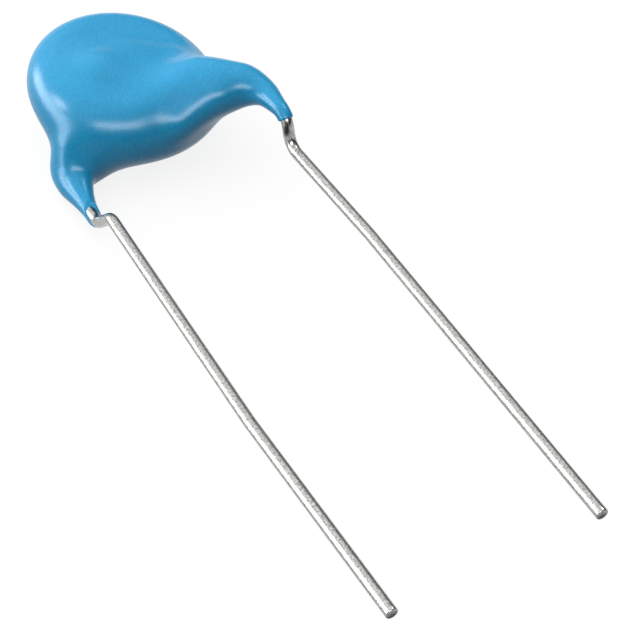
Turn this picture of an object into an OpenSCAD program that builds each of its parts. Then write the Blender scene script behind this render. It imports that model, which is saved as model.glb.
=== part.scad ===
// Ceramic disc capacitor with a dipped coating and two crimped wire leads.
// It lies on its flat side: X runs from the left lead to the right one, the leads point to -Y,
// and Z is up. Millimetres throughout.

/* [Disc] */
// Diameter of the ceramic disc
ceramic_d = 8.6; // [7.6:0.1:9.2]
// Thickness of the ceramic disc
ceramic_t = 1.8; // [1.4:0.1:2.2]
// Thickness of each silver electrode
electrode_t = 0.05; // [0.03:0.01:0.1]
// Bare ceramic left round the rim of each electrode
electrode_margin = 0.5; // [0.3:0.1:0.9]
// Distance of the disc's centre behind the seat line of the leads
disc_back = 8.3; // [7.6:0.1:9]
// How far the disc's centre lies to the left of the middle of the leads
disc_left = 0.32; // [0:0.02:0.6]
// How far the disc's centre lies over the plane of the leads
disc_lift = 0.15; // [-0.2:0.05:0.4]
// Tilt of the disc towards the right lead, in degrees
disc_tilt_right = 9.7; // [0:0.1:12]
// Tilt of the disc towards the leads, in degrees
disc_tilt_front = 5.7; // [0:0.1:8]

/* [Leads] */
// Distance between the two leads at the seat line
lead_pitch = 10; // [9.4:0.1:10.6]
// Diameter of the lead wire
wire_d = 0.6; // [0.5:0.02:0.66]
// Length of each lead from the seat line to its cut end
lead_l = 26.6; // [18:0.2:32]
// Height of the crimp's step, from the plane of the leads to the wire over it
crimp_step = 1.75; // [1.5:0.05:1.95]
// Chamfer of the cut ends
cut_chamfer = 0.04; // [0.02:0.01:0.08]
// Length of wire soldered to each electrode
contact_l = 2; // [1.4:0.1:2.6]
// Bend radius where the wire lifts off the disc
lift_r = 1.2; // [0.8:0.1:2]

/* [Left lead] */
// Distance of the shoulder's corner behind the seat line
left_shoulder_y = 5.2; // [4.9:0.1:5.6]
// Angle that the wire turns through at the shoulder, in degrees
left_shoulder_turn = 60; // [55:1:65]
// Bend radius of the shoulder
left_shoulder_r = 1.25; // [0.9:0.05:1.6]
// Length of wire from the shoulder's corner to the soldered stretch
left_reach = 4.1; // [3.7:0.1:4.5]
// Slope of the crimp, in degrees
left_crimp_slope = 45; // [42:1:55]
// Bend radius of the crimp
left_crimp_r = 0.8; // [0.6:0.05:1]
// Angle that the lead leans outwards below the crimp, in degrees
left_splay = 1.4; // [0:0.1:3]
// Distance from the seat line to the slight kink in the lead
left_kink_at = 14.65; // [10:0.05:16]
// Angle of the kink, in degrees
left_kink = 2.1; // [0.5:0.1:4]

/* [Right lead] */
// Distance of the shoulder's corner behind the seat line
right_shoulder_y = 3.2; // [3:0.1:3.7]
// Angle that the wire turns through at the shoulder, in degrees
right_shoulder_turn = 55; // [50:1:60]
// Bend radius of the shoulder
right_shoulder_r = 2; // [1.4:0.1:2.2]
// Length of wire from the shoulder's corner to the soldered stretch
right_reach = 5.9; // [5.5:0.1:6.3]
// Slope of the crimp, in degrees
right_crimp_slope = 75; // [70:1:78]
// Bend radius of the crimp
right_crimp_r = 0.85; // [0.7:0.05:0.95]
// Distance from the seat line to the crimp's lower corner
right_crimp_y = 0.2; // [0:0.05:0.4]
// Angle that the lead leans outwards below the crimp, in degrees
right_splay = 1.9; // [0:0.1:3]
// Distance from the seat line to the slight kink in the lead
right_kink_at = 7.1; // [5:0.1:12]
// Angle of the kink, in degrees
right_kink = 2; // [0.5:0.1:4]
// Radius of the wire's line at both kinks
kink_r = 12; // [6:1:20]

/* [Solder] */
// Radius of the solder bead round the wire
solder_r = 0.5; // [0.4:0.02:0.56]
// Gap between the wire and the electrode, filled with solder
solder_gap = 0.02; // [0.01:0.01:0.05]

/* [Coating] */
// Thickness of the coating over the disc's rim
coat_rim = 0.53; // [0.4:0.01:0.7]
// Thickness of the coating over the disc's faces
coat_face = 0.6; // [0.5:0.01:0.8]
// Rounding of the coated disc's edge
edge_r = 1.5; // [1:0.05:1.5]
// Reach of the fillets between the coated disc and the coated leads
fillet = 4; // [3:0.1:5]
// Thickness of the coating round the soldered wire ends
coat_contact = 0.36; // [0.3:0.01:0.5]
// Thickness of the coating on the left wire, halfway from the solder to the shoulder
left_coat_edge = 0.51; // [0.4:0.01:0.7]
// Thickness of the coating where the left shoulder's bend starts
left_coat_shoulder = 0.7; // [0.5:0.01:0.8]
// Thickness of the coating where the left shoulder's bend ends in the leg
left_coat_leg = 0.37; // [0.25:0.01:0.45]
// Thickness of the coating on the right wire, halfway from the solder to the shoulder
right_coat_edge = 1.06; // [0.8:0.01:1.2]
// Thickness of the coating where the right shoulder's bend starts
right_coat_shoulder = 0.8; // [0.6:0.01:0.9]
// Thickness of the coating where the right shoulder's bend ends in the leg
right_coat_leg = 0.27; // [0.2:0.01:0.35]
// Thickness of the coating at its lower ends
coat_end = 0.08; // [0.06:0.01:0.12]
// Seen from above, the point that the left sleeve tapers away from
left_taper_x = -0.9; // [-1.5:0.1:0]
left_taper_y = 12; // [11:0.1:13]
// Seen from above, the point that the right sleeve tapers away from
right_taper_x = -0.8; // [-1.5:0.1:0]
right_taper_y = 8.9; // [8:0.1:10]
// Rounding in the hollow of the right and left shoulders' bends
shoulder_fillet = 0.3; // [0.2:0.05:0.5]
// Rounding where the sleeves lift off the disc
lift_fillet = 1; // [0.6:0.1:1.4]
// Distance from the seat line to the coating's end on the left leg
left_coat_y = 2.3; // [2.2:0.05:2.6]
// Slant of that end, which runs out under the wire, in degrees
left_coat_slant = 56; // [30:1:60]
// Share of the right crimp's upper bend that the coating covers, in degrees
right_coat_bend = 46; // [30:1:55]

/* [Placing] */
// Height of the plane of the leads over the surface that the part lies on
lead_plane_h = 2.72; // [2.4:0.01:3]

/* [Hidden] */
left = -1;
right = 1;
wire_r = wire_d / 2;
body_r = ceramic_d / 2 + coat_rim;
half_t = ceramic_t / 2 + electrode_t + coat_face;
edge_round = min(edge_r, half_t);
disc_c = [-disc_left, disc_back, disc_lift];
electrode_d = ceramic_d - 2 * electrode_margin;
// height of the soldered wire's line over the disc's middle plane
contact_h = ceramic_t / 2 + electrode_t + solder_gap + wire_r;
// the middle of the whole part along Y
mid_y = (disc_back + body_r - lead_l) / 2;
wire_fn = 48;
bend_lap = 0.03;
bend_thinning = 0.002;
disc_fn = 96;

// Vectors
function unit(v) = v / norm(v);
function clamp01(t) = min(max(t, 0), 1);
function smooth01(t) = let (s = clamp01(t)) s * s * (3 - 2 * s);

// The disc's own frame: tilted to the front first, then to the right
disc_up = [cos(disc_tilt_front) * sin(disc_tilt_right), -sin(disc_tilt_front),
           cos(disc_tilt_front) * cos(disc_tilt_right)];
disc_x = [cos(disc_tilt_right), 0, -sin(disc_tilt_right)];
disc_y = cross(disc_up, disc_x);
function in_disc(p) = let (v = p - disc_c) [v * disc_x, v * disc_y, v * disc_up];
// The point over (x, y) that lies h above the disc's middle plane
function over_disc(xy, h) =
    [xy.x, xy.y, disc_c.z + (h - disc_up.x * (xy.x - disc_c.x) - disc_up.y * (xy.y - disc_c.y)) / disc_up.z];

// The leads as corners to be rounded, from the soldered end to the cut end
function pick(side, l, r) = side == left ? l : r;
function shoulder_at(side) =
    [side * lead_pitch / 2, pick(side, left_shoulder_y, right_shoulder_y), side * crimp_step];
function contact_at(side, along) =
    let (turn = pick(side, left_shoulder_turn, right_shoulder_turn),
         s = shoulder_at(side))
    over_disc([s.x - side * sin(turn) * along, s.y + cos(turn) * along], side * contact_h);
function crimp_top_y(side) =
    pick(side, 0, right_crimp_y) + crimp_step / tan(pick(side, left_crimp_slope, right_crimp_slope));
function lead_corners(side) =
    let (reach = pick(side, left_reach, right_reach),
         x = side * lead_pitch / 2,
         y0 = pick(side, 0, right_crimp_y),
         a1 = pick(side, left_splay, right_splay),
         a2 = a1 - pick(side, left_kink, right_kink),
         k = pick(side, left_kink_at, right_kink_at),
         kink = [x + side * k * tan(a1), -k, 0])
    [contact_at(side, reach + contact_l), contact_at(side, reach), shoulder_at(side),
     [x, crimp_top_y(side), side * crimp_step], [x + side * -y0 * tan(a1), y0, 0], kink,
     [kink.x + side * (lead_l - k) * tan(a2), -lead_l, 0]];
function lead_radii(side) =
    let (c = pick(side, left_crimp_r, right_crimp_r))
    [0, lift_r, pick(side, left_shoulder_r, right_shoulder_r), c, c, kink_r, 0];

// A bent wire: unit directions, turns and tangent lengths at its corners
function heading(p, i) = unit(p[i + 1] - p[i]);
function turn_at(p, i) = acos(min(1, heading(p, i - 1) * heading(p, i)));
function tangent_at(p, r, i) = (i == 0 || i == len(p) - 1) ? 0 : r[i] * tan(turn_at(p, i) / 2);
function bend_axis(p, i) = unit(cross(heading(p, i - 1), heading(p, i)));
function straight_l(p, r, i) = norm(p[i + 1] - p[i]) - tangent_at(p, r, i) - tangent_at(p, r, i + 1);
function twist_at(p, i) =
    let (a = bend_axis(p, i), b = bend_axis(p, i + 1))
    atan2(cross(a, b) * heading(p, i), a * b);

// Wire from its start at the origin along +Z, with the next bend towards +X
module wire_on(p, r, i) {
    l = straight_l(p, r, i);
    first = i == 0;
    last = i == len(p) - 2;
    lower = first ? cut_chamfer : 0;
    upper = last ? cut_chamfer : 0;
    translate([0, 0, lower])
        cylinder(h = l - lower - upper, r = wire_r, $fn = wire_fn);
    if (first)
        cylinder(h = cut_chamfer, r1 = wire_r - cut_chamfer, r2 = wire_r, $fn = wire_fn);
    if (last)
        translate([0, 0, l - cut_chamfer])
            cylinder(h = cut_chamfer, r1 = wire_r, r2 = wire_r - cut_chamfer, $fn = wire_fn);
    if (!last)
        translate([r[i + 1], 0, l]) {
            turn = turn_at(p, i + 1);
            bend(turn, r[i + 1]);
            rotate([0, turn, 0])
                translate([-r[i + 1], 0, 0])
                    rotate([0, 0, i + 2 < len(p) - 1 ? twist_at(p, i + 1) : 0])
                        wire_on(p, r, i + 1);
        }
}

// Bent stretch of wire, a hair thinner than the straight ones, which its ends run into
module bend(turn, radius) {
    lap = asin(bend_lap / radius);
    rotate([0, -lap, 0])
        rotate([90, 0, 180])
            rotate_extrude(angle = turn + 2 * lap, $fn = 4 * wire_fn)
                translate([radius, 0])
                    circle(r = wire_r - bend_thinning, $fn = wire_fn);
}

module bent_wire(p, r) {
    z = heading(p, 0);
    y = bend_axis(p, 1);
    x = cross(y, z);
    multmatrix([[x.x, y.x, z.x, p[0].x], [x.y, y.y, z.y, p[0].y], [x.z, y.z, z.z, p[0].z]])
        wire_on(p, r, 0);
}

// From the leads' plane to the resting frame
module placed() {
    translate([0, -mid_y, lead_plane_h])
        children();
}

// From the disc's own frame to the leads' plane
module on_disc() {
    translate(disc_c)
        rotate([disc_tilt_front, disc_tilt_right, 0])
            children();
}

module ceramic_shape() {
    on_disc()
        cylinder(h = ceramic_t, d = ceramic_d, center = true, $fn = disc_fn);
}

module electrode_shape(side) {
    on_disc()
        translate([0, 0, side * (ceramic_t + electrode_t) / 2])
            cylinder(h = electrode_t, d = electrode_d, center = true, $fn = disc_fn);
}

// Solder bead: a round-ended bar on the electrode, round the wire's end
module bead_shape(side) {
    a = in_disc(contact_at(side, pick(side, left_reach, right_reach)));
    b = in_disc(contact_at(side, pick(side, left_reach, right_reach) + contact_l));
    run = [b.x - a.x, b.y - a.y];
    face = ceramic_t / 2 + electrode_t;
    on_disc()
        intersection() {
            translate([a.x, a.y, side * contact_h])
                rotate([0, 90, atan2(run.y, run.x)]) {
                    cylinder(h = norm(run), r = solder_r, $fn = wire_fn);
                    sphere(r = solder_r, $fn = wire_fn);
                    translate([0, 0, norm(run)])
                        sphere(r = solder_r, $fn = wire_fn);
                }
            translate([-ceramic_d / 2, -ceramic_d / 2, side == right ? face : -face - 4 * solder_r])
                cube([ceramic_d, ceramic_d, 4 * solder_r]);
        }
}

module solder_shape(side) {
    difference() {
        bead_shape(side);
        lead_shape(side);
    }
}

module lead_shape(side) {
    bent_wire(lead_corners(side), lead_radii(side));
}

// The coating's skin is where this field is zero: a round-edged disc and tapered sleeves on both
// wires, run together with a wide fillet as surface tension leaves it.
function blend(a, b, k) = min(a, b) - pow(max(k - abs(a - b), 0) / k, 3) * k / 6;
function disc_field(p) =
    let (q = in_disc(p),
         out = norm([q.x, q.y]) - (body_r - edge_round),
         up = abs(q.z) - (half_t - edge_round))
    min(max(out, up), 0) + norm([max(out, 0), max(up, 0)]) - edge_round;

// Distance of a point from a straight stretch of the wire's line, and from a bend of it
function straight_gap(p, a, b) =
    let (ab = b - a)
    norm(p - a - ab * clamp01(((p - a) * ab) / (ab * ab)));
// A bend as [centre, direction at its start, inward direction, turn, radius, start, end]
function bend_of(p, r, i) =
    let (d = heading(p, i - 1), e = heading(p, i), t = tangent_at(p, r, i),
         start = p[i] - t * d, inward = unit(e - d * (d * e)))
    [start + r[i] * inward, d, inward, turn_at(p, i), r[i], start, p[i] + t * e];
function bend_gap(p, b) =
    let (v = p - b[0], a = min(max(atan2(v * b[1], -(v * b[2])), 0), b[3]))
    norm(v - b[4] * (sin(a) * b[1] - cos(a) * b[2]));

// The stretches of wire that the coating reaches, as [solder's end, lift, shoulder, crimp, foot]
function coated_line(side) =
    let (p = lead_corners(side), r = lead_radii(side))
    [p[0], p[1], bend_of(p, r, 2), bend_of(p, r, 3), p[4]];
function wire_gap(p, w) =
    let (upper = blend(straight_gap(p, w[0], w[1]), straight_gap(p, w[1], w[2][5]), lift_fillet),
         leg = straight_gap(p, w[2][6], w[3][5]))
    min(blend(leg, upper, shoulder_fillet), bend_gap(p, w[2]), bend_gap(p, w[3]),
        straight_gap(p, w[3][6], w[4]));

// A point of the right crimp's upper bend, that many degrees along
function right_bend_at(a) =
    let (b = coated_line(right)[3])
    b[0] + b[4] * (sin(a) * b[1] - cos(a) * b[2]);

// How far out the sleeve's radius is given, the radius there and its slope
function taper_c(side) = pick(side, [left_taper_x, left_taper_y], [right_taper_x, right_taper_y]);
function taper_at(side, p) = norm([p.x, p.y] - taper_c(side));
function slope_at(s, r, i) =
    i == 0 || i == len(s) - 1 ? 0 :
    let (a = (r[i] - r[i - 1]) / (s[i] - s[i - 1]), b = (r[i + 1] - r[i]) / (s[i + 1] - s[i]))
    a * b <= 0 ? 0 : 2 * a * b / (a + b);
function tapers(side) =
    let (w = coated_line(side),
         end = pick(side, [-lead_pitch / 2, left_coat_y, 0], right_bend_at(right_coat_bend)),
         s = [for (p = [w[1], (w[1] + w[2][5]) / 2, w[2][5], w[2][6], end]) taper_at(side, p)],
         r = [for (c = [coat_contact, pick(side, left_coat_edge, right_coat_edge),
                        pick(side, left_coat_shoulder, right_coat_shoulder),
                        pick(side, left_coat_leg, right_coat_leg), coat_end]) wire_r + c])
    [for (i = [0:len(s) - 1]) [s[i], r[i], slope_at(s, r, i)]];
// Smooth curve through the tapers' points
function eased(k, s, i = 1) =
    s > k[i][0] && i < len(k) - 1 ? eased(k, s, i + 1) :
    let (a = k[i - 1], b = k[i], h = b[0] - a[0], t = clamp01((s - a[0]) / h), u = 1 - t)
    (1 + 2 * t) * u * u * a[1] + t * u * u * h * a[2]
    + (1 + 2 * u) * t * t * b[1] - u * t * t * h * b[2];

left_sleeve = [left, coated_line(left), tapers(left)];
right_sleeve = [right, coated_line(right), tapers(right)];
function sleeve_field(p, s) = wire_gap(p, s[1]) - eased(s[2], taper_at(s[0], p));
function skin_field(p) =
    blend(blend(disc_field(p), sleeve_field(p, left_sleeve), fillet),
          sleeve_field(p, right_sleeve), fillet);

// Rings of the skin, from the left leg's end over the disc to the right leg's end. Each ring lies
// in a plane of its own and is given as [centre, outward, upward, half length, half height].
// Over the disc the planes fan out from an upright line between the legs.
fan_c = [0, 1.9];
fan_left = 160;
fan_steps = 42;
left_steps = 7;
right_steps = 8;
ring_points = 36;
function fan_ring(a) =
    let (u = [cos(a), sin(a), 0],
         middle = pow(sin(a), 4),
         from_left = smooth01((a - 125) / 35),
         from_right = smooth01((60 - a) / 38),
         r = lead_pitch / 2 / max(abs(cos(a)), 0.94) * (1 - middle) + (disc_back - fan_c.y) * middle,
         z = crimp_step * (from_right - from_left))
    [[fan_c.x + r * u.x, fan_c.y + r * u.y, z], u, [0, 0, 1],
     1 + 3.8 * middle, 1 + 0.6 * middle];
function left_ring(t) =
    let (top = fan_ring(fan_left),
         slant = left_coat_slant * (1 - t) * (1 - t),
         lean = (180 - fan_left) * smooth01(t),
         y = left_coat_y + (top[0].y - left_coat_y) * t)
    [[-lead_pitch / 2 + (top[0].x + lead_pitch / 2) * t, y, -crimp_step],
     [-cos(lean), sin(lean), 0], [0, sin(slant), cos(slant)], 1, 1];
function right_ring(a) =
    [right_bend_at(a), [1, 0, 0], [0, -sin(a), cos(a)], 1, 1];
function right_leg_ring(t) =
    let (a = right_bend_at(0))
    [[a.x, fan_c.y + (a.y - fan_c.y) * t, a.z], [1, 0, 0], [0, 0, 1], 1, 1];
rings = concat(
    [for (i = [0:left_steps - 1]) left_ring(i / left_steps)],
    [for (i = [0:fan_steps]) fan_ring(fan_left * (1 - i / fan_steps))],
    [for (i = [1:2]) right_leg_ring(i / 2)],
    [for (i = [1:right_steps]) right_ring(right_coat_bend * i / right_steps)]);

// The skin along a ray from a point inside it: a walk out in steps, then halving the last step
skin_stride = 0.4;
skin_halvings = 10;
function halved(p, d, lo, hi, n) =
    let (m = (lo + hi) / 2)
    n == 0 ? p + d * m :
    skin_field(p + d * m) < 0 ? halved(p, d, m, hi, n - 1) : halved(p, d, lo, m, n - 1);
function skin_hit(p, d, t = skin_stride) =
    skin_field(p + d * t) < 0 ? skin_hit(p, d, t + skin_stride) : halved(p, d, t - skin_stride, t, skin_halvings);
function ring_skin(ring) = [for (j = [0:ring_points - 1])
    let (a = 360 * j / ring_points,
         d = unit(cos(a) * ring[3] * ring[1] + sin(a) * ring[4] * ring[2]))
    skin_hit(ring[0], d)];

module skin_shape() {
    m = ring_points;
    n = len(rings);
    points = [for (ring = rings) each ring_skin(ring)];
    sides = [for (i = [0:n - 2]) for (j = [0:m - 1])
        let (a = i * m + j, b = i * m + (j + 1) % m, c = b + m, d = a + m)
        each norm(points[a] - points[c]) < norm(points[b] - points[d])
            ? [[a, d, c], [a, c, b]] : [[a, d, b], [d, c, b]]];
    caps = [[for (j = [0:m - 1]) j], [for (j = [m - 1:-1:0]) (n - 1) * m + j]];
    polyhedron(points = points, faces = concat(sides, caps), convexity = 6);
}

module coating() {
    color([0.13, 0.5, 0.76])
        placed()
            difference() {
                skin_shape();
                union() {
                    ceramic_shape();
                    for (side = [left, right]) {
                        electrode_shape(side);
                        bead_shape(side);
                        lead_shape(side);
                    }
                }
            }
}

module ceramic_disc() {
    color([0.86, 0.8, 0.7])
        placed()
            ceramic_shape();
}

module electrode_top() {
    color([0.9, 0.9, 0.88])
        placed()
            electrode_shape(right);
}

module electrode_bottom() {
    color([0.9, 0.9, 0.88])
        placed()
            electrode_shape(left);
}

module solder_top() {
    color([0.66, 0.67, 0.68])
        placed()
            solder_shape(right);
}

module solder_bottom() {
    color([0.66, 0.67, 0.68])
        placed()
            solder_shape(left);
}

module lead_left() {
    color([0.78, 0.78, 0.77])
        placed()
            lead_shape(left);
}

module lead_right() {
    color([0.78, 0.78, 0.77])
        placed()
            lead_shape(right);
}

coating();
ceramic_disc();
electrode_top();
electrode_bottom();
solder_top();
solder_bottom();
lead_left();
lead_right();
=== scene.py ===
"""Looks of a dipped ceramic disc capacitor. The sizes below repeat the source's, in millimetres."""

import math

import bpy
import numpy as np
from mathutils import Matrix, Vector


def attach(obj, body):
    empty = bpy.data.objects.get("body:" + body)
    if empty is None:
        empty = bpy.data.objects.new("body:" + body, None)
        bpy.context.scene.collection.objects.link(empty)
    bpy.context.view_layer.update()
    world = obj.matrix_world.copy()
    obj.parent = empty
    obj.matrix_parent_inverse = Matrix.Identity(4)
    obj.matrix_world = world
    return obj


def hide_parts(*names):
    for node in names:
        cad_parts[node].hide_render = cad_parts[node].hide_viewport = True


MM = 0.001
LEFT, RIGHT = -1, 1

# Disc and coating
CERAMIC_D, CERAMIC_T, ELECTRODE_T = 8.6, 1.8, 0.05
DISC_C = np.array([-0.32, 8.3, 0.15])
TILT_RIGHT, TILT_FRONT = math.radians(9.7), math.radians(5.7)
COAT_RIM, COAT_FACE, COAT_CONTACT, COAT_END = 0.53, 0.6, 0.36, 0.08
BODY_R = CERAMIC_D / 2 + COAT_RIM
HALF_T = CERAMIC_T / 2 + ELECTRODE_T + COAT_FACE
EDGE_R = min(1.5, HALF_T)
FILLET, SHOULDER_FILLET, LIFT_FILLET = 4.0, 0.3, 1.0
# Where the skin departs from its plain fillets, in the leads' own frame: the line along which
# it swells (or sinks, if less than 0), how far, and how far from the line that reaches
SWELLS = (
    ((0.8, 3.6, 0.80), (2.6, 3.5, 1.62), 0.50, 0.80),       # front edge under the right wire
    ((-4.9, 5.55, 0.10), (-5.0, 5.45, -0.20), 0.14, 0.70),  # neck above the left leg
    ((0.3, 6.5, 2.50), (1.5, 5.5, 2.70), -0.18, 1.30),      # crest over the soldered wire
    ((0.6, 8.8, 1.75), (2.4, 7.9, 1.50), 0.18, 1.00),       # hollow behind the crest
)

# Leads
WIRE_R, PITCH, LEAD_L, STEP = 0.3, 10.0, 26.6, 1.75
CONTACT_L, LIFT_R, KINK_R, SOLDER_GAP = 2.0, 1.2, 12.0, 0.02
CONTACT_H = CERAMIC_T / 2 + ELECTRODE_T + SOLDER_GAP + WIRE_R
# Each lead: its shoulder's y, turn and radius, its reach over the disc up to the soldered stretch,
# its crimp's slope, radius and lower y, its splay, and its kink's place and angle. Its coating: the
# thickness at the disc's edge, the shoulder and the leg, and in plan where it tapers away from
SIDES = {
    LEFT: dict(shoulder_y=5.2, turn=60, shoulder_r=1.25, reach=4.1, slope=45, crimp_r=0.8,
               crimp_y=0.0, splay=1.4, kink_at=14.65, kink=2.1,
               coat=(0.51, 0.7, 0.37), taper_c=(-0.9, 12.0)),
    RIGHT: dict(shoulder_y=3.2, turn=55, shoulder_r=2.0, reach=5.9, slope=75, crimp_r=0.85,
                crimp_y=0.2, splay=1.9, kink_at=7.1, kink=2.0,
                coat=(1.06, 0.8, 0.27), taper_c=(-0.8, 8.9)),
}
# The left coating ends at this y, in a slant, and the right one this far into the crimp's bend
COAT_Y_LEFT, COAT_SLANT_LEFT, COAT_BEND_RIGHT = 2.3, 56.0, 46.0

# From the leads' own frame to the resting frame
PLANE_H = 2.72
SHIFT = np.array([0.0, -(DISC_C[1] + BODY_R - LEAD_L) / 2, PLANE_H])

# The coating's mesh: rings on the left leg, round the disc, on the right leg and in its bend,
# points on a ring, and the walk along a ray to the skin
RINGS_LEFT, RINGS_FAN, RINGS_LEG, RINGS_BEND = 21, 126, 6, 24
SKIN_POINTS, RAY_STEP, RAY_STEPS, RAY_HALVINGS = 120, 0.2, 35, 16
# The rings round the disc fan out from one point, from the left leg's angle down to 0. They rise
# to the right wire below one angle and sink to the left one above another, each over some degrees
FAN_C = np.array([0.0, 1.9])
FAN_LEFT, FAN_RISE, FAN_FALL = 160.0, (60, 38), (125, 35)
FAN_LEAST_COS = 0.94            # keeps the rings' centres near the legs
FAN_FOCUS = 4                   # how far the disc's middle keeps to itself
FAN_SPREAD = (3.8, 0.6)         # how much wider the rays spread there, outwards and upwards
# The coating's thin ends: the roll-over, how far it reaches along the wire and sinks into it
LIP_ANGLES, LIP_REACH, LIP_SINK = (22.5, 45, 67.5, 90), COAT_END * 0.9, 0.01

# The wires' meshes: points round the wire, their spacing along it in millimetres and by bend, and
# the cut end as rings, each with its share of the wire's radius and how far it stands back
WIRE_POINTS, WIRE_SPACING, BEND_PER_DEGREE, BEND_LEAST = 40, 0.25, 0.25, 4
SAME_PLACE = 1e-6
CUT_CHAMFER, CORE = 0.04, 0.02
CUT_RINGS = ((0.96, 0.008), (0.88, 0.0), (0.45, 0.0), (CORE, 0.0))

# Camera, as measured from the photograph at 640 x 640
PHOTO_PX, FOCAL_PX, SENSOR = 640, 2230, 36.0
CAM_ELEVATION, CAM_AZIMUTH = math.radians(46.7), math.radians(-29.65)
CAM_DISTANCE, CAM_AIM = 102.515, (0.396, -10.789, 0)
CAM_NEAR, CAM_FAR = 5, 5000

# Floor: how it answers light, and the brightness that the camera and reflections see
FLOOR_HALF, FLOOR_Z, FLOOR_LIT, FLOOR_OWN = 2000, -0.03, 0.16, 0.86
# Sky: its brightest direction, and its strength by the cosine from there, from low to high
SKY_TOP, SKY_FROM, SKY_TO, SKY_LOW, SKY_HIGH = (-0.3, 0.4, 0.86), 0.1, 0.95, 0.08, 1.68
# Softboxes round the body: azimuth from +X, elevation, width and height in degrees, radiance
BODY, LAMP_DISTANCE = (-0.3, 14.5, 3.0), 200
LAMPS = (
    ("left_back", 152, 12.5, 76, 25, 10.5),
    ("left_high", 160, 36, 16, 14, 20.0),
    ("front_high", -111.5, 37, 39, 15, 13.5),
    ("right_high", 3, 52, 14, 8, 22.0),
)

# Dark marks on the wires: place in the leads' own frame, reach each way and depth
MARKS = (
    ((4.80, 0.26, 1.13), (0.20, 0.24, 0.55), 0.97),
    ((-4.90, -16.0, 0.22), (0.26, 0.26, 0.26), 0.55),
    ((5.22, -8.75, 0.30), (0.22, 0.22, 0.22), 0.25),
    ((-5.21, -26.72, -0.28), (0.5, 0.5, 0.5), 0.9),
    ((5.20, -26.72, -0.28), (0.5, 0.5, 0.5), 0.9),
)
MARK_COLOUR, MARK_FULL = (0.02, 0.02, 0.02), 0.35       # full up to this share of the reach


# ---------------------------------------------------------------- geometry of the wires
def unit(v):
    return v / np.linalg.norm(v)


def tilted_axes():
    front, right = TILT_FRONT, TILT_RIGHT
    up = np.array([math.cos(front) * math.sin(right), -math.sin(front),
                   math.cos(front) * math.cos(right)])
    across = np.array([math.cos(right), 0, -math.sin(right)])
    return across, np.cross(up, across), up


DISC_X, DISC_Y, DISC_UP = tilted_axes()


def over_disc(x, y, h):
    """The point over (x, y) that lies h above the disc's middle plane."""
    sunk = DISC_UP[0] * (x - DISC_C[0]) + DISC_UP[1] * (y - DISC_C[1])
    return np.array([x, y, DISC_C[2] + (h - sunk) / DISC_UP[2]])


def lead_corners(side):
    """The lead's corners, from the soldered end to the cut end, and the radii that round them."""
    q = SIDES[side]
    x = side * PITCH / 2
    turn = math.radians(q["turn"])

    def contact(along):
        return over_disc(x - side * math.sin(turn) * along,
                         q["shoulder_y"] + math.cos(turn) * along, side * CONTACT_H)

    shoulder = np.array([x, q["shoulder_y"], side * STEP])
    crimp_top = q["crimp_y"] + STEP / math.tan(math.radians(q["slope"]))
    splay = math.tan(math.radians(q["splay"]))
    splay_after = math.tan(math.radians(q["splay"] - q["kink"]))
    kink = np.array([x + side * q["kink_at"] * splay, -q["kink_at"], 0])
    tip = np.array([kink[0] + side * (LEAD_L - q["kink_at"]) * splay_after, -LEAD_L, 0])
    corners = [contact(q["reach"] + CONTACT_L), contact(q["reach"]), shoulder,
               np.array([x, crimp_top, side * STEP]),
               np.array([x - side * q["crimp_y"] * splay, q["crimp_y"], 0]), kink, tip]
    return corners, [0, LIFT_R, q["shoulder_r"], q["crimp_r"], q["crimp_r"], KINK_R, 0]


class Bend:
    """A bend of the wire's line, at one of its corners."""

    def __init__(self, corners, radii, i):
        self.start_way = unit(corners[i] - corners[i - 1])
        end_way = unit(corners[i + 1] - corners[i])
        self.turn = math.acos(min(1.0, float(self.start_way @ end_way)))
        self.radius = radii[i]
        cut = self.radius * math.tan(self.turn / 2)
        self.start = corners[i] - cut * self.start_way
        self.end = corners[i] + cut * end_way
        self.inward = unit(end_way - self.start_way * (self.start_way @ end_way))
        self.centre = self.start + self.radius * self.inward

    def at(self, angle):
        """The point of the bend that many radians along."""
        return self.centre + self.radius * (math.sin(angle) * self.start_way
                                            - math.cos(angle) * self.inward)

    def gap(self, p):
        """Distance of points from the bend."""
        v = p - self.centre
        a = np.arctan2(v @ self.start_way, -(v @ self.inward))
        a = np.clip(a, 0, self.turn)[..., None]
        on_bend = self.radius * (np.sin(a) * self.start_way - np.cos(a) * self.inward)
        return np.linalg.norm(v - on_bend, axis=-1)


def wire_line(side):
    """Points and tangents along a lead's axis: straights and round bends."""
    corners, radii = lead_corners(side)
    points, tangents = [], []

    def put(p, t):
        if not points or np.linalg.norm(p - points[-1]) > SAME_PLACE:
            points.append(p)
            tangents.append(t)

    here = corners[0]
    for i in range(1, len(corners)):
        way = unit(corners[i] - corners[i - 1])
        bend = Bend(corners, radii, i) if i < len(corners) - 1 else None
        end = bend.start if bend else corners[i]
        n = max(1, round(np.linalg.norm(end - here) / WIRE_SPACING))
        for k in range(n + 1):
            put(here + (end - here) * k / n, way)
        if bend:
            n = max(BEND_LEAST, round(math.degrees(bend.turn) * BEND_PER_DEGREE))
            for k in range(1, n + 1):
                a = bend.turn * k / n
                put(bend.at(a), math.cos(a) * bend.start_way + math.sin(a) * bend.inward)
            here = points[-1]
    return np.array(points), np.array(tangents)


def straight_gap(p, a, b):
    """Distance of points from a straight stretch."""
    ab = b - a
    t = np.clip((p - a) @ ab / (ab @ ab), 0, 1)
    return np.linalg.norm(p - a - t[..., None] * ab, axis=-1)


# ---------------------------------------------------------------- the coating's field
def blend(a, b, k):
    """The lesser of two fields, with the hollow between them filled by a cubic of reach k."""
    return np.minimum(a, b) - (np.maximum(k - np.abs(a - b), 0) / k) ** 3 * k / 6


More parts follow.
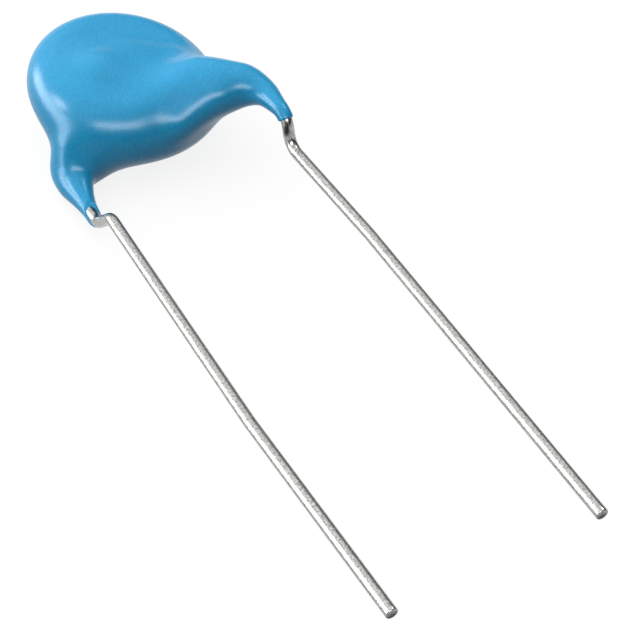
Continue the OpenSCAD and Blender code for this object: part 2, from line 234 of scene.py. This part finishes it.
def disc_field(p):
    v = p - DISC_C
    out = np.hypot(v @ DISC_X, v @ DISC_Y) - (BODY_R - EDGE_R)
    up = np.abs(v @ DISC_UP) - (HALF_T - EDGE_R)
    beyond = np.hypot(np.maximum(out, 0), np.maximum(up, 0))
    return np.minimum(np.maximum(out, up), 0) + beyond - EDGE_R


class Sleeve:
    """The coating on one wire: distance from the wire less a radius that tapers outwards."""

    def __init__(self, side):
        corners, radii = lead_corners(side)
        q = SIDES[side]
        self.tip, self.lift, self.foot = corners[0], corners[1], corners[4]
        self.shoulder, self.crimp = Bend(corners, radii, 2), Bend(corners, radii, 3)
        self.taper_c = np.array(q["taper_c"])
        end = (np.array([-PITCH / 2, COAT_Y_LEFT, 0]) if side == LEFT
               else self.crimp.at(math.radians(COAT_BEND_RIGHT)))
        at = [self.lift, (self.lift + self.shoulder.start) / 2, self.shoulder.start,
              self.shoulder.end, end]
        self.s = self.out(np.array(at))
        self.r = WIRE_R + np.array([COAT_CONTACT, *q["coat"], COAT_END])
        step = np.diff(self.r) / np.diff(self.s)
        both = step[:-1] * step[1:]
        inner = np.where(both > 0, 2 * both / np.where(both > 0, step[:-1] + step[1:], 1), 0)
        self.slope = np.array([0, *inner, 0])

    def out(self, p):
        """Distance in plan from the point that the sleeve tapers away from."""
        return np.hypot(p[..., 0] - self.taper_c[0], p[..., 1] - self.taper_c[1])

    def radius(self, s):
        """Smooth curve through the given radii."""
        i = np.clip(np.searchsorted(self.s, s), 1, len(self.s) - 1)
        h = self.s[i] - self.s[i - 1]
        t = np.clip((s - self.s[i - 1]) / h, 0, 1)
        u = 1 - t
        return ((1 + 2 * t) * u * u * self.r[i - 1] + t * u * u * h * self.slope[i - 1]
                + (1 + 2 * u) * t * t * self.r[i] - u * t * t * h * self.slope[i])

    def wire_gap(self, p):
        upper = blend(straight_gap(p, self.tip, self.lift),
                      straight_gap(p, self.lift, self.shoulder.start), LIFT_FILLET)
        leg = straight_gap(p, self.shoulder.end, self.crimp.start)
        foot = straight_gap(p, self.crimp.end, self.foot)
        return np.minimum.reduce([blend(leg, upper, SHOULDER_FILLET), self.shoulder.gap(p),
                                  self.crimp.gap(p), foot])

    def field(self, p):
        return self.wire_gap(p) - self.radius(self.out(p))


SLEEVES = {side: Sleeve(side) for side in (LEFT, RIGHT)}


def skin_field(p):
    """Less than 0 inside the coating, and 0 on its skin."""
    skin = blend(disc_field(p), SLEEVES[LEFT].field(p), FILLET)
    skin = blend(skin, SLEEVES[RIGHT].field(p), FILLET)
    for a, b, amount, reach in SWELLS:
        gap = straight_gap(p, np.array(a), np.array(b))
        skin = skin - amount * np.exp(-(gap / reach) ** 2)
    return skin


# ---------------------------------------------------------------- the coating's rings
# Each ring is a centre, the two directions that its rays lie in, and how far they spread in each
X_WAY, Z_WAY = np.array([1.0, 0, 0]), np.array([0, 0, 1.0])


def smooth01(t):
    t = min(max(t, 0), 1)
    return t * t * (3 - 2 * t)


def fan_ring(angle):
    """Round the disc, at an angle from the right leg."""
    a = math.radians(angle)
    way = np.array([math.cos(a), math.sin(a), 0])
    middle = math.sin(a) ** FAN_FOCUS
    r = (PITCH / 2 / max(abs(math.cos(a)), FAN_LEAST_COS) * (1 - middle)
         + (DISC_C[1] - FAN_C[1]) * middle)
    z = STEP * (smooth01((FAN_RISE[0] - angle) / FAN_RISE[1])
                - smooth01((angle - FAN_FALL[0]) / FAN_FALL[1]))
    return (np.array([FAN_C[0] + r * way[0], FAN_C[1] + r * way[1], z]), way, Z_WAY,
            1 + FAN_SPREAD[0] * middle, 1 + FAN_SPREAD[1] * middle)


def left_ring(t):
    """On the left leg, from its slanted end at 0 to the fan at 1."""
    x, y = -PITCH / 2, COAT_Y_LEFT
    top = fan_ring(FAN_LEFT)[0]
    slant = math.radians(COAT_SLANT_LEFT * (1 - t) ** 2)
    lean = math.radians((180 - FAN_LEFT) * smooth01(t))
    return (np.array([x + (top[0] - x) * t, y + (top[1] - y) * t, -STEP]),
            np.array([-math.cos(lean), math.sin(lean), 0]),
            np.array([0, math.sin(slant), math.cos(slant)]), 1, 1)


def right_ring(angle):
    """In the right crimp's upper bend, that many degrees along."""
    a = math.radians(angle)
    return SLEEVES[RIGHT].crimp.at(a), X_WAY, np.array([0, -math.sin(a), math.cos(a)]), 1, 1


def right_leg_ring(t):
    """On the right leg, from the fan at 0 to the crimp's upper bend at 1."""
    x, y, z = SLEEVES[RIGHT].crimp.at(0)
    return np.array([x, FAN_C[1] + (y - FAN_C[1]) * t, z]), X_WAY, Z_WAY, 1, 1


def coating_rings():
    rings = [left_ring(i / RINGS_LEFT) for i in range(RINGS_LEFT)]
    rings += [fan_ring(FAN_LEFT * (1 - i / RINGS_FAN)) for i in range(RINGS_FAN + 1)]
    rings += [right_leg_ring(i / RINGS_LEG) for i in range(1, RINGS_LEG + 1)]
    rings += [right_ring(COAT_BEND_RIGHT * i / RINGS_BEND) for i in range(1, RINGS_BEND + 1)]
    return rings


def ring_skin(ring):
    """Points where rays from the ring's centre leave the skin: a walk in steps, then halving."""
    centre, u, v, along_u, along_v = ring
    a = 2 * np.pi * np.arange(SKIN_POINTS) / SKIN_POINTS
    rays = np.cos(a)[:, None] * along_u * u + np.sin(a)[:, None] * along_v * v
    rays /= np.linalg.norm(rays, axis=1)[:, None]
    steps = np.arange(1, RAY_STEPS + 1) * RAY_STEP
    walk = centre + rays[:, None, :] * steps[None, :, None]
    first = np.argmax(skin_field(walk) > 0, axis=1)
    lo, hi = steps[first] - RAY_STEP, steps[first]
    for _ in range(RAY_HALVINGS):
        mid = (lo + hi) / 2
        outside = skin_field(centre + rays * mid[:, None]) > 0
        hi, lo = np.where(outside, mid, hi), np.where(outside, lo, mid)
    return centre + rays * hi[:, None]


def lip(centre, loop, axis):
    """Loops that roll the coating's edge over and into the wire; the axis runs up the wire."""
    rel = loop - centre
    across = rel - (rel @ axis)[:, None] * axis
    inner = ((WIRE_R - LIP_SINK) / np.linalg.norm(across, axis=1))[:, None]
    return [centre + rel * (inner + (1 - inner) * math.cos(a)) - axis * LIP_REACH * math.sin(a)
            for a in np.radians(LIP_ANGLES)]


# ---------------------------------------------------------------- meshes
def new_object(name, verts, faces):
    """A mesh from points and faces in millimetres of the resting frame."""
    mesh = bpy.data.meshes.new(name)
    mesh.from_pydata([tuple(float(c) * MM for c in v) for v in verts], [], faces)
    mesh.validate()
    obj = bpy.data.objects.new(name, mesh)
    bpy.context.scene.collection.objects.link(obj)
    return obj


def new_tube(name, loops):
    """A closed tube through the loops: a smooth wall and a flat cap at each end."""
    n, rings = len(loops[0]), len(loops)
    wall = [[i * n + j, i * n + (j + 1) % n, (i + 1) * n + (j + 1) % n, (i + 1) * n + j]
            for i in range(rings - 1) for j in range(n)]
    caps = [list(range(n))[::-1], list(range((rings - 1) * n, rings * n))]
    tube = new_object(name, np.concatenate(loops) + SHIFT, wall + caps)
    smooth = [True] * len(wall) + [False] * len(caps)
    tube.data.polygons.foreach_set("use_smooth", smooth)
    return tube


def make_coating():
    rings = coating_rings()
    loops = [ring_skin(r) for r in rings]
    a = math.radians(COAT_BEND_RIGHT)
    left_lip = lip(rings[0][0], loops[0], np.array([0, 1.0, 0]))
    right_lip = lip(rings[-1][0], loops[-1], np.array([0, math.cos(a), math.sin(a)]))
    return new_tube("coating_skin", left_lip[::-1] + loops + right_lip)


def make_lead(name, side, finish, cut_finish):
    points, tangents = wire_line(side)
    a = 2 * np.pi * np.arange(WIRE_POINTS)[:, None] / WIRE_POINTS
    # Frames carried along the wire, from any direction across its first tangent
    normal = unit(np.cross(tangents[0], [0.3, 0.2, 1.0]))
    loops = []
    for p, t in zip(points, tangents):
        normal = unit(normal - t * (normal @ t))
        loops.append(p + WIRE_R * (np.cos(a) * normal + np.sin(a) * np.cross(t, normal)))
    tip, way, last = points[-1], tangents[-1], loops[-1]
    loops[-1] = last - way * CUT_CHAMFER
    loops += [tip + (last - tip) * share - way * back for share, back in CUT_RINGS]
    loops.insert(0, points[0] + (loops[0] - points[0]) * CORE)
    lead = new_tube(name, loops)
    lead.data.materials.append(finish)
    lead.data.materials.append(cut_finish)
    # The cut face lies within the first of the cut's rings
    cut_from = (len(loops) - len(CUT_RINGS)) * WIRE_POINTS
    for face in lead.data.polygons:
        face.material_index = 1 if face.index >= cut_from else 0
    return lead


# ---------------------------------------------------------------- materials
def configure(node, values):
    """Sets a node's inputs and settings; _ in a name stands for an input's blank."""
    for key, value in values.items():
        socket = key.replace("_", " ")
        if socket in node.inputs:
            node.inputs[socket].default_value = value
        else:
            setattr(node, key, value)
    return node


def add(tree, kind, **values):
    return configure(tree.nodes.new(kind), values)


def material(name, **values):
    mat = bpy.data.materials.new(name)
    mat.use_nodes = True
    return mat, mat.node_tree, configure(mat.node_tree.nodes["Principled BSDF"], values)


def object_place(tree):
    return add(tree, "ShaderNodeTexCoord").outputs["Object"]


def noise(tree, place, scale, detail, roughness):
    tex = add(tree, "ShaderNodeTexNoise", Scale=scale, Detail=detail, Roughness=roughness)
    tree.links.new(place, tex.inputs["Vector"])
    return tex.outputs["Fac"]


def tones(tree, fac, low, high, low_at, high_at):
    """Two colours, and the noise values at which they are reached."""
    ramp = add(tree, "ShaderNodeValToRGB")
    for stop, at, colour in zip(ramp.color_ramp.elements, (low_at, high_at), (low, high)):
        stop.position, stop.color = at, (*colour, 1)
    tree.links.new(fac, ramp.inputs["Fac"])
    return ramp.outputs["Color"]


def uneven_gloss(tree, shader, fac, low, high):
    spread = add(tree, "ShaderNodeMapRange", To_Min=low, To_Max=high)
    tree.links.new(fac, spread.inputs["Value"])
    tree.links.new(spread.outputs["Result"], shader.inputs["Roughness"])


def relief(tree, shader, height, strength, depth):
    """Bump of a depth in millimetres."""
    bump = add(tree, "ShaderNodeBump", Strength=strength, Distance=depth * MM)
    tree.links.new(height, bump.inputs["Height"])
    tree.links.new(bump.outputs["Normal"], shader.inputs["Normal"])


def marked(tree, place, shade):
    """The colour with the wires' dark marks let in, each fading out from its middle."""
    for where, reach, dark in MARKS:
        off = add(tree, "ShaderNodeVectorMath", operation="SUBTRACT")
        off.inputs[1].default_value = [c * MM for c in np.array(where) + SHIFT]
        tree.links.new(place, off.inputs[0])
        scaled = add(tree, "ShaderNodeVectorMath", operation="DIVIDE")
        scaled.inputs[1].default_value = [c * MM for c in reach]
        tree.links.new(off.outputs["Vector"], scaled.inputs[0])
        apart = add(tree, "ShaderNodeVectorMath", operation="LENGTH")
        tree.links.new(scaled.outputs["Vector"], apart.inputs[0])
        near = add(tree, "ShaderNodeMapRange", interpolation_type="SMOOTHSTEP",
                   From_Min=MARK_FULL, From_Max=1.0, To_Min=dark, To_Max=0.0)
        tree.links.new(apart.outputs["Value"], near.inputs["Value"])
        tint = add(tree, "ShaderNodeMixRGB", Color2=(*MARK_COLOUR, 1))
        tree.links.new(near.outputs["Result"], tint.inputs["Fac"])
        tree.links.new(shade, tint.inputs["Color1"])
        shade = tint.outputs["Color"]
    return shade


def epoxy():
    """Glossy dipped epoxy: smooth, faintly uneven, with fine specks of filler."""
    mat, tree, shader = material("dipped_epoxy", Specular_IOR_Level=0.27)
    place = object_place(tree)
    broad = noise(tree, place, scale=260.0, detail=3.0, roughness=0.5)
    fine = noise(tree, place, scale=11000.0, detail=2.0, roughness=0.6)
    shade = tones(tree, fine, (0.010, 0.300, 0.585), (0.020, 0.430, 0.790), 0.3, 0.75)
    tree.links.new(shade, shader.inputs["Base Color"])
    uneven_gloss(tree, shader, broad, 0.24, 0.31)
    relief(tree, shader, fine, strength=0.1, depth=0.004)
    return mat


def tinned_wire():
    """Tinned copper wire: bright and grainy, with fine drawing lines along it and dark marks."""
    mat, tree, shader = material("tinned_wire", Metallic=1.0)
    place = object_place(tree)
    along = add(tree, "ShaderNodeMapping", Scale=(1.0, 0.06, 1.0))
    tree.links.new(place, along.inputs["Vector"])
    lines = noise(tree, along.outputs["Vector"], scale=9000.0, detail=3.0, roughness=0.6)
    grains = noise(tree, place, scale=9000.0, detail=3.0, roughness=0.6)
    shade = tones(tree, grains, (0.21, 0.208, 0.202), (0.50, 0.495, 0.482), 0.35, 0.7)
    tree.links.new(marked(tree, place, shade), shader.inputs["Base Color"])
    uneven_gloss(tree, shader, grains, 0.19, 0.27)
    relief(tree, shader, lines, strength=0.15, depth=0.006)
    return mat


def plain(name, low, high, roughness, metallic=0.0, scale=1500.0, marks=False):
    """Finish of the sealed pieces and the wires' cut ends: two tones of a colour in a grain."""
    mat, tree, shader = material(name, Metallic=metallic, Roughness=roughness)
    place = object_place(tree)
    grain = noise(tree, place, scale=scale, detail=4.0, roughness=0.6)
    shade = tones(tree, grain, low, high, 0.35, 0.65)
    tree.links.new(marked(tree, place, shade) if marks else shade, shader.inputs["Base Color"])
    relief(tree, shader, grain, strength=0.2, depth=0.01)
    return mat


def paint(obj, mat):
    obj.data.materials.clear()
    obj.data.materials.append(mat)


# ---------------------------------------------------------------- stage, lights and camera
def make_camera():
    e, az = CAM_ELEVATION, CAM_AZIMUTH
    right = Vector((math.cos(az), math.sin(az), 0))
    back = Vector((math.sin(az) * math.cos(e), -math.cos(az) * math.cos(e), math.sin(e)))
    data = bpy.data.cameras.new("camera")
    data.sensor_width = SENSOR
    data.lens = FOCAL_PX / PHOTO_PX * SENSOR
    data.clip_start, data.clip_end = CAM_NEAR * MM, CAM_FAR * MM
    cam = bpy.data.objects.new("camera", data)
    bpy.context.scene.collection.objects.link(cam)
    place = (Vector(CAM_AIM) + Vector(SHIFT) + back * CAM_DISTANCE) * MM
    turn = Matrix((right, back.cross(right), back)).transposed().to_4x4()
    cam.matrix_world = Matrix.Translation(place) @ turn
    bpy.context.scene.camera = cam


def make_floor():
    """Pale floor: white to the camera and reflections, with the object's shadow left in."""
    s, z = FLOOR_HALF, FLOOR_Z
    floor = new_object("floor", [(-s, -s, z), (s, -s, z), (s, s, z), (-s, s, z)], [(0, 1, 2, 3)])
    mat, tree, shader = material(
        "floor_white", Base_Color=(FLOOR_LIT, FLOOR_LIT, FLOOR_LIT, 1), Roughness=0.9,
        Specular_IOR_Level=0.0, Emission_Color=(1, 1, 1, 1))
    path = add(tree, "ShaderNodeLightPath")
    seen = path.outputs["Is Camera Ray"]
    for other in ("Is Glossy Ray", "Is Transmission Ray"):
        either = add(tree, "ShaderNodeMath", operation="MAXIMUM")
        tree.links.new(seen, either.inputs[0])
        tree.links.new(path.outputs[other], either.inputs[1])
        seen = either.outputs["Value"]
    own = add(tree, "ShaderNodeMath", operation="MULTIPLY")
    own.inputs[1].default_value = FLOOR_OWN
    tree.links.new(seen, own.inputs[0])
    tree.links.new(own.outputs["Value"], shader.inputs["Emission Strength"])
    paint(floor, mat)


def make_world():
    """Soft studio light that falls off from above and behind towards the front."""
    world = bpy.data.worlds.new("studio")
    bpy.context.scene.world = world
    world.use_nodes = True
    tree = world.node_tree
    place = add(tree, "ShaderNodeTexCoord").outputs["Generated"]
    towards = add(tree, "ShaderNodeVectorMath", operation="DOT_PRODUCT")
    towards.inputs[1].default_value = unit(np.array(SKY_TOP))
    tree.links.new(place, towards.inputs[0])
    level = add(tree, "ShaderNodeMapRange", interpolation_type="SMOOTHSTEP",
                From_Min=SKY_FROM, From_Max=SKY_TO, To_Min=SKY_LOW, To_Max=SKY_HIGH)
    tree.links.new(towards.outputs["Value"], level.inputs["Value"])
    background = configure(tree.nodes["Background"], dict(Color=(1, 1, 1, 1)))
    tree.links.new(level.outputs["Result"], background.inputs["Strength"])


def make_lamp(name, azimuth, elevation, wide, high, radiance):
    """A softbox in a direction from the body, for highlights alone: the world does the lighting."""
    a, e = math.radians(azimuth), math.radians(elevation)
    way = Vector((math.cos(e) * math.cos(a), math.cos(e) * math.sin(a), math.sin(e)))
    up = Vector((-math.sin(e) * math.cos(a), -math.sin(e) * math.sin(a), math.cos(e)))
    data = bpy.data.lights.new(name, "AREA")
    data.shape = "RECTANGLE"
    data.size = 2 * LAMP_DISTANCE * MM * math.tan(math.radians(wide / 2))
    data.size_y = 2 * LAMP_DISTANCE * MM * math.tan(math.radians(high / 2))
    data.energy = radiance * math.pi * data.size * data.size_y
    lamp = bpy.data.objects.new(name, data)
    bpy.context.scene.collection.objects.link(lamp)
    turn = Matrix((up.cross(way), up, way)).transposed().to_4x4()
    place = Vector(BODY) * MM + way * LAMP_DISTANCE * MM
    lamp.matrix_world = Matrix.Translation(place) @ turn
    lamp.visible_camera = False
    lamp.visible_diffuse = False


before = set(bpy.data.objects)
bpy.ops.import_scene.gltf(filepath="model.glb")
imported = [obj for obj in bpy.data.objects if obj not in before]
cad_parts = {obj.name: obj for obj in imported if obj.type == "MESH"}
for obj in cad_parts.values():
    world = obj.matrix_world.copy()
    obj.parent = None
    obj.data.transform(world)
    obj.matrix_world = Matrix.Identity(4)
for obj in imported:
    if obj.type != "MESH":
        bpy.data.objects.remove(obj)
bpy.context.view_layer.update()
make_camera()
bpy.context.scene.view_settings.view_transform = "Standard"

coating = make_coating()
paint(coating, epoxy())
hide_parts("coating")
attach(coating, "root")

wire = tinned_wire()
sheared = plain("sheared_end", (0.16, 0.155, 0.15), (0.42, 0.41, 0.4), 0.42, metallic=1.0,
                scale=9000.0, marks=True)
for name, side in (("lead_left", LEFT), ("lead_right", RIGHT)):
    lead = make_lead(name + "_wire", side, wire, sheared)
    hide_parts(name)
    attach(lead, "root")

INNER = {
    "ceramic_disc": plain("fired_ceramic", (0.62, 0.53, 0.42), (0.7, 0.61, 0.5), 0.75),
    "electrode": plain("printed_silver", (0.66, 0.66, 0.64), (0.8, 0.8, 0.78), 0.45, metallic=1.0),
    "solder": plain("solder", (0.42, 0.43, 0.44), (0.56, 0.57, 0.58), 0.3, metallic=1.0),
}
for name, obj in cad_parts.items():
    for key, mat in INNER.items():
        if name.startswith(key):
            paint(obj, mat)

make_floor()
make_world()
for lamp in LAMPS:
    make_lamp(*lamp)
